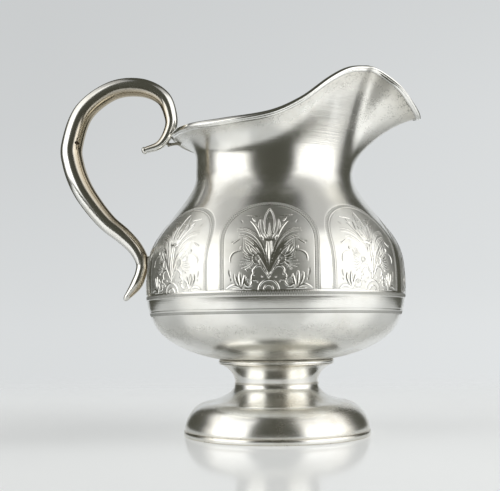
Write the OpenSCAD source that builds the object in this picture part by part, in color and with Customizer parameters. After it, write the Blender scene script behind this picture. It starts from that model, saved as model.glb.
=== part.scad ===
// Silver water pitcher on a domed foot: a spun body in two halves, a raised neck with a high-sided
// spout, an applied wire round the mouth, and a hollow handle in two halves that curls over at the rim.
// Upright on +Z, origin at the centre of the resting ring, spout along +X, handle along -X.

/* [Foot] */
// Outer radius of the wire that the foot rests on
base_r = 54.3; // [48:0.2:66]
// Height of the resting wire
base_h = 3.2; // [2.5:0.1:5]
// How far the resting wire stands out beyond the dome above it
base_lip = 0.8; // [0.3:0.1:2]
// Radius of the waist, where dome and stem meet
waist_r = 24.2; // [20:0.1:29]
// Height of the dome, from the resting wire to the waist
dome_h = 26.6; // [22:0.2:32]
// Step between the waist of the dome and the slightly slimmer stem
waist_step = 0.4; // [0.2:0.1:1]
// Height of the flared stem between the waist and the collar
stem_h = 10.7; // [8:0.1:14]
// Outer radius of the collar under the bowl
collar_r = 33.9; // [31:0.1:40]
// Thickness of the collar
collar_h = 3; // [2:0.1:4]

/* [Body] */
// Radius of the flat seat in the middle of the bowl, where the collar is soldered on
seat_r = 32.6; // [28:0.1:36]
// Radius of the body at its widest
belly_r = 75.7; // [63:0.1:92]
// Height of the widest point above the seat
belly_rise = 43.5; // [36:0.5:53]
// How far up the curve of the bowl the seam between bowl and shoulder lies
seam_share = 0.9; // [0.8:0.01:0.95]
// Radius of the throat, the narrowest part of the neck
throat_r = 46.6; // [39:0.1:56]
// Height of the throat above the widest point
throat_rise = 64; // [52:0.5:76]
// Thickness of the silver sheet of the body and foot
sheet = 1.5; // [1.2:0.1:2]

/* [Mouth] */
// How far the spout's tip reaches from the axis
tip_reach = 85; // [71:0.5:102]
// Height of the spout's tip above the throat
tip_rise = 33.5; // [28:0.5:40]
// Height of the crest on each side of the spout, above the throat
crest_rise = 54; // [45:0.5:65]
// Reach of the mouth at its sides
side_reach = 56; // [52:0.5:65]
// Height of the mouth at its sides, above the throat
side_rise = 23.8; // [20:0.1:29]
// Reach of the mouth at the back, towards the handle
back_reach = 59.5; // [50:0.1:72]
// Height of the mouth at the back, above the throat
back_rise = 24; // [20:0.5:29]
// Diameter of the wire round the mouth
wire_d = 3.6; // [2.6:0.1:4.4]

/* [Handle] */
// Depth of the handle over its width
handle_depth = 1.15; // [0.9:0.05:1.3]
// Thickness of the sheet that the handle's halves are stamped from
handle_sheet = 1.2; // [1:0.1:1.4]
// How much the handle swells or slims, as a factor on its widths
handle_scale = 1; // [0.85:0.01:1.2]
// Radius of the vent hole on the inner side of the handle
vent_r = 1.1; // [0.8:0.1:1.5]
// Radius of the solder pad between handle and body
pad_r = 4.4; // [3.5:0.1:5.5]
// Thickness of the strut that ties the handle's curl to the underside of the mouth
strut_d = 2.2; // [1.6:0.1:3]

/* [Hidden] */
silver = [0.80, 0.80, 0.78];
worn = [0.72, 0.71, 0.67];
$fn = 96;

// Heights of the stack, each worked out from the piece below it
waist_z = base_h + dome_h;
stem_top_z = waist_z + stem_h;
seat_z = stem_top_z + collar_h;
belly_z = seat_z + belly_rise;
throat_z = belly_z + throat_rise;

// The collar stands out beyond the top of the stem, and reaches inside it
stem_top_r = collar_r - 1.7;
collar_inner_r = stem_top_r - 5;

// How many straight steps a curve of an outline has
steps = 12;
// Overlap of soldered pieces that meet on curved faces
solder = 0.4;

// ---- Curves: a cubic curve is four points, and runs from the first to the last ----
function along(c, t) = (1 - t)^3 * c[0] + 3 * (1 - t)^2 * t * c[1] + 3 * (1 - t) * t^2 * c[2] + t^3 * c[3];
function heading(c, t) = (1 - t)^2 * (c[1] - c[0]) + 2 * (1 - t) * t * (c[2] - c[1]) + t^2 * (c[3] - c[2]);
function left_of(v) = [-v.y, v.x] / norm(v);
function trace(c) = [for (i = [0 : steps]) along(c, i / steps)];
// The same curve moved d to its left, traced backwards, which closes a wall of thickness d
function back_wall(c, d) =
    [for (i = [steps : -1 : 0]) along(c, i / steps) + d * left_of(heading(c, i / steps))];
function mid(a, b, t) = a + t * (b - a);
// The first part of a curve, up to t, and the rest of it
function first_part(c, t) =
    let (a = mid(c[0], c[1], t), b = mid(c[1], c[2], t), e = mid(c[2], c[3], t),
         f = mid(a, b, t), g = mid(b, e, t))
    [c[0], a, f, mid(f, g, t)];
function last_part(c, t) = let (r = first_part([c[3], c[2], c[1], c[0]], 1 - t)) [r[3], r[2], r[1], r[0]];

// ---- Outlines of the body: radius and height, outer face, going up ----
bowl_slope = 11;
bowl_curve = [
    [seat_r, seat_z],
    [seat_r, seat_z] + 0.95 * (belly_r - seat_r) * [cos(bowl_slope), sin(bowl_slope)],
    [belly_r, belly_z - 0.42 * belly_rise],
    [belly_r, belly_z]];
// The shoulder turns from bulging to hollow halfway between belly and throat
turn_slope = 127.5;
turn = [mid(throat_r, belly_r, 0.5), mid(belly_z, throat_z, 0.597)];
turn_way = [cos(turn_slope), sin(turn_slope)];
shoulder_curve = [
    [belly_r, belly_z], [belly_r, belly_z + 0.306 * throat_rise],
    turn - 0.287 * throat_rise * turn_way, turn];
hollow_curve = [
    turn, turn + 0.195 * throat_rise * turn_way,
    [throat_r, throat_z - 0.126 * throat_rise], [throat_r, throat_z]];

// ---- Outlines of the foot: radius and height, outer face, going down ----
dome_r = base_r - base_lip;
dome_turn = [mid(waist_r, dome_r, 0.57), mid(base_h, waist_z, 0.6)];
dome_neck = [
    [waist_r + waist_step, waist_z], [waist_r, mid(dome_turn.y, waist_z, 0.5)],
    dome_turn + [-8.4, 1.2], dome_turn];
dome_swell = [
    dome_turn, dome_turn + [7.7, -1.1], [dome_r + 0.25, mid(base_h, dome_turn.y, 0.4)], [dome_r, base_h]];
stem_curve = [
    [waist_r, waist_z], [waist_r, waist_z + 0.43 * stem_h],
    [mid(waist_r, stem_top_r, 0.375), waist_z + 0.78 * stem_h], [stem_top_r, stem_top_z]];

// ---- The mouth: a smooth closed line, given by stations round the axis ----
// Angle from the spout, reach, height above the throat, rise of the wall's last stretch in degrees,
// length of that stretch, and how high the wall stays upright, as a share of its height
mouth = [
    [0, tip_reach, tip_rise, 9, 16.5, 0.37],
    [9.5, tip_reach - 4.5, mid(tip_rise, crest_rise, 0.28), 27, 15, 0.32],
    [16, tip_reach - 10, mid(tip_rise, crest_rise, 0.64), 45, 14, 0.25],
    [24, tip_reach - 19, crest_rise, 60, 14, 0.2],
    [34, mid(side_reach, tip_reach, 0.24), crest_rise - 0.7, 67, 15, 0.2],
    [44, mid(side_reach, tip_reach, 0.14), crest_rise - 3.4, 71, 16, 0.2],
    [55, mid(side_reach, tip_reach, 0.05), mid(side_rise, crest_rise, 0.67), 68, 15, 0.22],
    [72, side_reach - 0.3, mid(side_rise, crest_rise, 0.26), 57, 12, 0.3],
    [90, side_reach, side_rise, 50, 11, 0.4],
    [115, mid(side_reach, back_reach, 0.3), side_rise - 2.4, 40, 12, 0.45],
    [140, mid(side_reach, back_reach, 0.6), side_rise - 1.6, 32, 14, 0.5],
    [160, back_reach - 0.7, back_rise - 1, 27, 16, 0.58],
    [180, back_reach, back_rise, 25, 17, 0.61]];
last = len(mouth) - 1;
// A station by number, mirrored past the spout and past the back
function station(i) =
    i < 0 ? let (s = mouth[-i]) [-s[0], s[1], s[2], s[3], s[4], s[5]]
    : i > last ? let (s = mouth[2 * last - i]) [360 - s[0], s[1], s[2], s[3], s[4], s[5]]
    : mouth[i];
// Value in column k of the stations at angle a, by a smooth cubic between neighbours
function span_of(a, i = 0) = i >= last - 1 || a <= mouth[i + 1][0] ? i : span_of(a, i + 1);
function mouth_at(a, k) =
    let (i = span_of(a), p = station(i - 1), q = station(i), r = station(i + 1), s = station(i + 2),
         gap = r[0] - q[0], t = (a - q[0]) / gap,
         u = (r[k] - p[k]) / (r[0] - p[0]) * gap, v = (s[k] - q[k]) / (s[0] - q[0]) * gap)
    (2 * t^3 - 3 * t^2 + 1) * q[k] + (t^3 - 2 * t^2 + t) * u
        + (3 * t^2 - 2 * t^3) * r[k] + (t^3 - t^2) * v;
// The upright curve of the neck's outer face at angle a, from the throat to the mouth
function neck_curve(a) =
    let (reach = mouth_at(a, 1), rise = mouth_at(a, 2), lean = mouth_at(a, 3),
         stretch = mouth_at(a, 4), upright = mouth_at(a, 5), edge = [reach, throat_z + rise])
    [[throat_r, throat_z], [throat_r, throat_z + upright * rise],
     edge - stretch * [cos(lean), sin(lean)], edge];
around = 72;
function turn_to(p, a) = [p.x * cos(a), p.x * sin(a), p.y];
function fold_angle(i) = let (a = i * 360 / around) a > 180 ? 360 - a : a;

// ---- The handle: a smooth line in the XZ plane between the rim and the body ----
rim_anchor = [-back_reach, throat_z + back_rise];
hold = along(shoulder_curve, 0.3);
body_anchor = [-hold.x, hold.y];
// Offset sideways and up, share of the way from the rim anchor to the body anchor, and width
spine = [
    [-18.2, -5.4, 0, 4], [-9.3, -2.3, 0, 5.5], [-3.8, 5.4, 0, 7], [-2.4, 14.2, 0, 8],
    [-7.4, 26.7, 0, 9.5], [-21, 33.5, 0, 11.1], [-39, 32, 0, 11.5], [-56.3, 19.1, 0, 12.4],
    [-62, 6.4, 0.1, 13], [-58.8, 5, 0.25, 13], [-51.5, 2.4, 0.4, 12.7], [-41.7, 1.7, 0.55, 12],
    [-30.4, 2.1, 0.7, 11], [-19.3, 1.5, 0.8, 10.1], [-10.4, 1.1, 0.9, 8.8], [-4.9, 0.3, 1, 7.9],
    [-5.8, -6.3, 1, 7], [-8.5, -12.9, 1, 7], [-13.3, -19.4, 1, 4.2]];
bones = [for (s = spine)
    let (p = mid(rim_anchor, body_anchor, s[2]) + [s[0], s[1]]) [p.x, p.y, s[3] * handle_scale]];
tail = len(bones) - 1;
function bone(i) = i < 0 ? 2 * bones[0] - bones[1] : i > tail ? 2 * bones[tail] - bones[tail - 1] : bones[i];
// Point and width at place s along the handle, which counts the bones from 0 to tail
function grip(s) =
    let (i = min(floor(s), tail - 1), t = s - i, p = bone(i - 1), q = bone(i), r = bone(i + 1), w = bone(i + 2))
    0.5 * ((2 * q) + (r - p) * t + (2 * p - 5 * q + 4 * r - w) * t^2 + (3 * q - p - 3 * r + w) * t^3);
function grip_way(s) =
    let (d = grip(min(s + 0.05, tail)) - grip(max(s - 0.05, 0))) [d.x, d.y] / norm([d.x, d.y]);
rings_per_bone = 3;
arc_steps = 8;
// One ring of a half tube: the outer half ellipse, then the inner one back; side is -1 or 1 along Y
function half_ring(s, side) =
    let (g = grip(s), w = grip_way(s), n = [-w.y, w.x], outer = g[2] / 2,
         inner = max(g[2] / 2 - handle_sheet, 0.5))
    concat(
        [for (k = [0 : arc_steps]) let (a = 180 * k / arc_steps)
            [g.x + n.x * outer * cos(a), side * outer * handle_depth * sin(a), g.y + n.y * outer * cos(a)]],
        [for (k = [arc_steps : -1 : 0]) let (a = 180 * k / arc_steps)
            [g.x + n.x * inner * cos(a), side * inner * handle_depth * sin(a), g.y + n.y * inner * cos(a)]]);

// ---- Shared shapes ----
// A skin over rings of points, closed on itself or capped at both ends; flip turns its faces over
module skin(rings, closed = false, flip = false) {
    n = len(rings[0]);
    m = len(rings);
    tubes = [for (i = [0 : m - (closed ? 1 : 2)]) for (j = [0 : n - 1])
        let (a = i * n + j, b = i * n + (j + 1) % n,
             c = ((i + 1) % m) * n + (j + 1) % n, d = ((i + 1) % m) * n + j)
        each [[a, b, c], [a, c, d]]];
    caps = closed ? [] : [[for (j = [n - 1 : -1 : 0]) j], [for (j = [0 : n - 1]) (m - 1) * n + j]];
    all = concat(tubes, caps);
    polyhedron(points = [for (r = rings) each r],
               faces = flip ? [for (f = all) [for (j = [len(f) - 1 : -1 : 0]) f[j]]] : all);
}

// Everything inside the outer face of the bowl and shoulder, to trim what is soldered onto them
module body_core() {
    rotate_extrude($fn = 720)
        polygon(concat([[0, seat_z]], trace(bowl_curve), trace(shoulder_curve), [[0, turn.y]]));
}

// ---- Pieces ----
module base_wire() {
    round_r = base_h / 2;
    inner_r = dome_r - 2 * sheet;
    color(silver)
        rotate_extrude()
            polygon(concat(
                [[inner_r, 0], [base_r - base_lip, 0]],
                [for (a = [-75 : 15 : 75]) [base_r - base_lip + base_lip * cos(a), round_r + round_r * sin(a)]],
                [[base_r - base_lip, base_h], [inner_r, base_h]]));
}

module foot_dome() {
    color(silver)
        rotate_extrude()
            polygon(concat(trace(dome_neck), trace(dome_swell),
                           [for (p = back_wall(dome_swell, -sheet)) [p.x, max(p.y, base_h)]],
                           [for (p = back_wall(dome_neck, -sheet)) [p.x, min(p.y, waist_z)]]));
}

module foot_stem() {
    color(silver)
        rotate_extrude()
            polygon(concat(trace(stem_curve),
                           [for (p = back_wall(stem_curve, sheet)) [p.x, min(p.y, stem_top_z)]]));
}

module foot_collar() {
    lip = collar_h / 2;
    color(silver)
        rotate_extrude()
            polygon(concat(
                [[collar_inner_r, stem_top_z], [collar_r - lip, stem_top_z]],
                [for (a = [-80 : 16 : 80]) [collar_r - lip + lip * cos(a), stem_top_z + lip + lip * sin(a)]],
                [[collar_r - lip, seat_z], [collar_inner_r, seat_z]]));
}

module bowl() {
    wall = first_part(bowl_curve, seam_share);
    color(silver)
        rotate_extrude()
            polygon(concat([[0, seat_z]], trace(wall), back_wall(wall, sheet), [[0, seat_z + sheet]]));
}

module shoulder() {
    brow = last_part(bowl_curve, seam_share);
    color(silver)
        rotate_extrude()
            polygon(concat(trace(brow), trace(shoulder_curve), trace(hollow_curve),
                           back_wall(hollow_curve, sheet), back_wall(shoulder_curve, sheet),
                           back_wall(brow, sheet)));
}

module neck_and_spout() {
    color(silver)
        skin([for (i = [0 : around - 1])
                let (c = neck_curve(fold_angle(i)), a = i * 360 / around)
                [for (p = concat(trace(c), back_wall(c, sheet))) turn_to(p, a)]],
             closed = true);
}

module rim_wire() {
    r = wire_d / 2;
    sink = 0.7 * r;
    low = asin(-sink / r);
    color(silver)
        skin([for (i = [0 : around - 1])
                let (c = neck_curve(fold_angle(i)), a = i * 360 / around, up = heading(c, 1) / norm(heading(c, 1)),
                     in = left_of(heading(c, 1)), core = c[3] + in * sheet / 2 + up * sink)
                [for (p = concat([c[3] + in * sheet, c[3]],
                                 [for (k = [0 : 8]) let (b = low + k * (180 - 2 * low) / 8)
                                     core - in * r * cos(b) + up * r * sin(b)]))
                    turn_to(p, a)]],
             closed = true);
}

module handle_half(side) {
    skin([for (k = [0 : tail * rings_per_bone]) half_ring(k / rings_per_bone, side)], flip = side < 0);
}

module handle_left_half() {
    vent = grip(8);
    color(worn)
        difference() {
            handle_half(-1);
            translate([vent.x + vent[2] / 3, 0, vent.y])
                rotate([90, 0, 0])
                    cylinder(h = vent[2], r = vent_r, $fn = 24);
        }
}

module handle_right_half() {
    color(worn) handle_half(1);
}

module handle_curl_button() {
    g = grip(0);
    w = grip_way(0);
    r = 0.75 * g[2];
    color(silver)
        translate([g.x, 0, g.y])
            rotate([0, -90 - atan2(w.y, w.x), 0])
                rotate_extrude()
                    polygon(concat([[0, 0], [r, 0]],
                                   [for (a = [0 : 10 : 80]) [r * cos(a), r * (0.3 + 0.7 * sin(a))]],
                                   [[0, r]]));
}

module handle_tail_tip() {
    g = grip(tail);
    w = grip_way(tail);
    n = [-w.y, w.x];
    length = 4;
    color(silver)
        skin([for (k = [0 : 4])
                let (t = k / 4, size = g[2] / 2 * sqrt(1 - 0.92 * t^2), c = [g.x, g.y] + w * length * t)
                [for (j = [0 : 15]) let (a = 360 * j / 16)
                    [c.x + n.x * size * cos(a), size * handle_depth * sin(a), c.y + n.y * size * cos(a)]]]);
}

module handle_solder_pad() {
    g = grip(15);
    color(silver)
        difference() {
            translate([g.x + g[2] / 2 - solder, 0, g.y])
                rotate([0, 90, 0])
                    cylinder(h = hold.x, r = pad_r);
            body_core();
            translate([0, -pad_r - 1, g.y - pad_r - 1])
                cube([hold.x, 2 * pad_r + 2, 2 * pad_r + 2]);
        }
}

module rim_strut() {
    under = along(neck_curve(180), 0.95);
    curl = grip(1.35);
    way = grip_way(1.35);
    from = [curl.x, curl.y] + (curl[2] / 2 + strut_d / 2 - solder) * [way.y, -way.x];
    to = [-under.x, under.y] + (strut_d / 2 - solder) * [0.5, -0.85];
    color(worn)
        hull() {
            translate([from.x, 0, from.y]) sphere(d = strut_d, $fn = 24);
            translate([to.x, 0, to.y]) sphere(d = strut_d, $fn = 24);
        }
}

base_wire();
foot_dome();
foot_stem();
foot_collar();
bowl();
shoulder();
neck_and_spout();
rim_wire();
handle_left_half();
handle_right_half();
handle_curl_button();
handle_tail_tip();
handle_solder_pad();
rim_strut();
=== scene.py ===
"""Silver water pitcher: spun and raised from sheet silver, engraved, and soldered up from its pieces.

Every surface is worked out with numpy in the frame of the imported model, in metres, +Z up, with the
spout along +X. Sizes are named in millimetres, as a silversmith would give them.
"""
import logging
import math
from dataclasses import dataclass, field
from enum import Enum

import bpy
import numpy as np
from mathutils import Matrix, Vector


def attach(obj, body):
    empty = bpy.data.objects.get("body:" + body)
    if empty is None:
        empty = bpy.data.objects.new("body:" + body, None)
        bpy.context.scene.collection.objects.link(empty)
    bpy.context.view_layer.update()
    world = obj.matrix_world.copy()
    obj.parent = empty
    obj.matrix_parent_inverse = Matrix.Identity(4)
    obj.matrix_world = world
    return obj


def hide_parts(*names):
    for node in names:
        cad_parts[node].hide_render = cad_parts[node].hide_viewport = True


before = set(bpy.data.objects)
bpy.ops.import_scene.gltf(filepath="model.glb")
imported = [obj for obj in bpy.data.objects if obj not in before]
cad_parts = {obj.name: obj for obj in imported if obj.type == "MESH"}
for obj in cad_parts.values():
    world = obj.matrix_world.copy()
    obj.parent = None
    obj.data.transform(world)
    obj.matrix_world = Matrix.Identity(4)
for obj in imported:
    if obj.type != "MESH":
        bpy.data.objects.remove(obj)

log = logging.getLogger("pitcher")
MM = 0.001
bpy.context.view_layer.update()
Array = np.ndarray


# ---------------------------------------------------------------------------------------------
# Curves and outlines
# ---------------------------------------------------------------------------------------------
def cubic(c: Array, t: Array) -> Array:
    """Points on a cubic curve of four control points.

    Args:
        c: The control points, shape (4, n).
        t: Places along the curve from 0 to 1.

    Returns:
        One point per place: the sum of the control points weighted by (1-t)^3, 3(1-t)^2 t,
        3(1-t) t^2 and t^3.
    """
    c, t = np.asarray(c, float), np.asarray(t, float)[..., None]
    return (1 - t) ** 3 * c[0] + 3 * (1 - t) ** 2 * t * c[1] + 3 * (1 - t) * t**2 * c[2] + t**3 * c[3]


def cubic_way(c: Array, t: Array) -> Array:
    """Unnormalised heading of a cubic curve: (1-t)^2 (b-a) + 2(1-t)t (c-b) + t^2 (d-c)."""
    c, t = np.asarray(c, float), np.asarray(t, float)[..., None]
    return (1 - t) ** 2 * (c[1] - c[0]) + 2 * (1 - t) * t * (c[2] - c[1]) + t**2 * (c[3] - c[2])


def chain(*curves: Array, steps: int = 96) -> Array:
    """Several cubic curves as one polyline without doubled joints.

    Args:
        steps: Number of steps in each curve.
        *curves: Control points of each curve, shape (4, 2).

    Returns:
        The points of all of them in one run.
    """
    t = np.linspace(0, 1, steps + 1)
    runs = [cubic(c, t) for c in curves]
    return np.concatenate([runs[0]] + [r[1:] for r in runs[1:]])


def lengths(points: Array) -> Array:
    """Distance along a polyline at each of its points, starting at 0."""
    return np.concatenate([[0.0], np.cumsum(np.linalg.norm(np.diff(points, axis=0), axis=1))])


def at_length(points: Array, where: Array) -> Array:
    """Points of a polyline at given distances along it."""
    s = lengths(points)
    return np.stack([np.interp(where, s, points[:, k]) for k in range(points.shape[1])], axis=-1)


def resample(points: Array, count: int) -> Array:
    """The same polyline with count evenly spaced points."""
    return at_length(points, np.linspace(0, lengths(points)[-1], count))


def headings(points: Array) -> Array:
    """Unit heading at each point of a 2-D polyline, by central differences."""
    d = np.gradient(points, axis=0)
    return d / np.linalg.norm(d, axis=1, keepdims=True)


def out_of(points: Array) -> Array:
    """Unit normals to the right of a polyline's heading, which point outwards on one that goes up."""
    w = headings(points)
    return np.stack([w[:, 1], -w[:, 0]], axis=1)


def inner_wall(outline: Array, sheet: float, count: int) -> Array:
    """The outline moved inwards by the sheet's thickness, traced back from its end to its start."""
    return resample((outline - sheet * out_of(outline))[::-1], count)


def ease(x: Array) -> Array:
    """Smooth step from 0 to 1 as x goes from 0 to 1: 3x^2 - 2x^3."""
    x = np.clip(x, 0, 1)
    return x * x * (3 - 2 * x)


# ---------------------------------------------------------------------------------------------
# Meshes
# ---------------------------------------------------------------------------------------------
def grid_faces(rows: int, cols: int, wrap_rows: bool, wrap_cols: bool) -> Array:
    """Quads over a grid of points numbered row by row.

    Args:
        rows: Number of rows of points.
        cols: Number of points in a row.
        wrap_rows: Whether the last row joins the first.
        wrap_cols: Whether each row closes on itself.

    Returns:
        Array of faces, each (r, c), (r, c+1), (r+1, c+1), (r+1, c).
    """
    r = np.arange(rows if wrap_rows else rows - 1)[:, None]
    c = np.arange(cols if wrap_cols else cols - 1)[None, :]
    r2, c2 = (r + 1) % rows, (c + 1) % cols
    return np.stack([r * cols + c, r * cols + c2, r2 * cols + c2, r2 * cols + c], axis=-1).reshape(-1, 4)


def make_mesh(name: str, points: Array, quads: Array, caps: tuple[Array, ...] = ()) -> bpy.types.Object:
    """A linked object whose mesh holds the points, in millimetres, and the faces.

    Args:
        name: The piece's name.
        points: Points, in mm.
        quads: Faces of four corners.
        caps: Faces of many corners that close the ends.

    Returns:
        The new object.
    """
    mesh = bpy.data.meshes.new(name)
    faces = [*quads.tolist(), *(c.tolist() for c in caps)]
    mesh.from_pydata((points.reshape(-1, 3) * MM).tolist(), [], faces)
    mesh.validate()
    obj = bpy.data.objects.new(name, mesh)
    bpy.context.scene.collection.objects.link(obj)
    return obj


def paint(obj: bpy.types.Object, name: str, values: Array) -> None:
    """Writes one number per vertex into a named attribute, which a material can read."""
    layer = obj.data.attributes.new(name, "FLOAT", "POINT")
    layer.data.foreach_set("value", np.ascontiguousarray(values, dtype=np.float32).ravel())


def smooth(obj: bpy.types.Object, crease: float = 42.0) -> None:
    """Shades smooth, with edges sharper than the crease angle in degrees left sharp."""
    obj.data.shade_smooth()
    obj.data.set_sharp_from_angle(angle=math.radians(crease))


def finish_piece(obj: bpy.types.Object, nodes: tuple[str, ...], material: bpy.types.Material,
                 crease: float = 42.0) -> bpy.types.Object:
    """Dresses a piece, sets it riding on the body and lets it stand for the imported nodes.

    Args:
        obj: The piece.
        nodes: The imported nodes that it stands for.
        material: Its finish.
        crease: Sharp-edge angle in degrees.

    Returns:
        The same piece.
    """
    smooth(obj, crease)
    obj.data.materials.append(material)
    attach(obj, "root")
    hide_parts(*nodes)
    log.info("%s: %d faces", obj.name, len(obj.data.polygons))
    return obj


def revolve(loop: Array, angles: Array, swell: Array | None = None) -> Array:
    """Points of a closed loop of radius and height carried round the Z axis.

    Args:
        loop: The loop, shape (n, 2).
        angles: Angles in radians.
        swell: Extra distance along each loop point's normal, shape (angles, n), or None.

    Returns:
        Array (angles, n, 3): (radius cos a, radius sin a, height).
    """
    r = np.broadcast_to(loop[:, 0], (len(angles), len(loop)))
    z = np.broadcast_to(loop[:, 1], (len(angles), len(loop)))
    if swell is not None:
        n = out_of(loop)
        r, z = r + swell * n[:, 0], z + swell * n[:, 1]
    a = angles[:, None]
    return np.stack([r * np.cos(a), r * np.sin(a), z], axis=-1)


def full_turn(count: int) -> Array:
    """Evenly spaced angles round a full turn, without the last, which is the first again."""
    return np.linspace(0, 2 * np.pi, count, endpoint=False)


def round_piece(name: str, loop: Array, count: int, swell: Array | None = None) -> bpy.types.Object:
    """A ring-shaped piece: a closed loop carried all the way round the axis."""
    points = revolve(loop, full_turn(count), swell)
    return make_mesh(name, points, grid_faces(count, len(loop), True, True)[:, ::-1])


# ---------------------------------------------------------------------------------------------
# Finishes
# ---------------------------------------------------------------------------------------------
def linear(code: str) -> tuple[float, float, float, float]:
    """An sRGB hex colour such as "E8E6E1" as linear red, green, blue and a full alpha.

    Args:
        code: Six hex digits.

    Returns:
        Red, green, blue and alpha.
    """
    parts = [int(code[k : k + 2], 16) / 255 for k in (0, 2, 4)]
    low = [p / 12.92 if p <= 0.04045 else ((p + 0.055) / 1.055) ** 2.4 for p in parts]
    return (*low, 1.0)


def add_node(tree: bpy.types.NodeTree, kind: str, values: dict | None = None, links: dict | None = None,
             **settings: object) -> bpy.types.Node:
    """Adds a node.

    Args:
        tree: The tree that gets it.
        kind: The node's type name.
        values: Input socket name or number to its constant.
        links: Input socket name or number to the output socket that feeds it.
        settings: The node's own properties.

    Returns:
        The new node.
    """
    node = tree.nodes.new(kind)
    for key, value in settings.items():
        setattr(node, key, value)
    for key, value in (values or {}).items():
        node.inputs[key].default_value = value
    for key, source in (links or {}).items():
        tree.links.new(source, node.inputs[key])
    return node


def ramp(tree: bpy.types.NodeTree, source: bpy.types.NodeSocket, stops: tuple[tuple[float, float], ...],
         ) -> bpy.types.NodeSocket:
    """A grey colour ramp over a factor, as pairs of place and brightness.

    Args:
        tree: The material's node tree.
        source: The factor.
        stops: Places and their grey, both from 0 to 1.

    Returns:
        The socket with the grey.
    """
    node = add_node(tree, "ShaderNodeValToRGB", links={"Fac": source})
    bar = node.color_ramp.elements
    while len(bar) < len(stops):
        bar.new(0.5)
    for element, (place, grey) in zip(bar, stops):
        element.position = place
        element.color = (grey, grey, grey, 1)
    return node.outputs["Color"]


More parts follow.
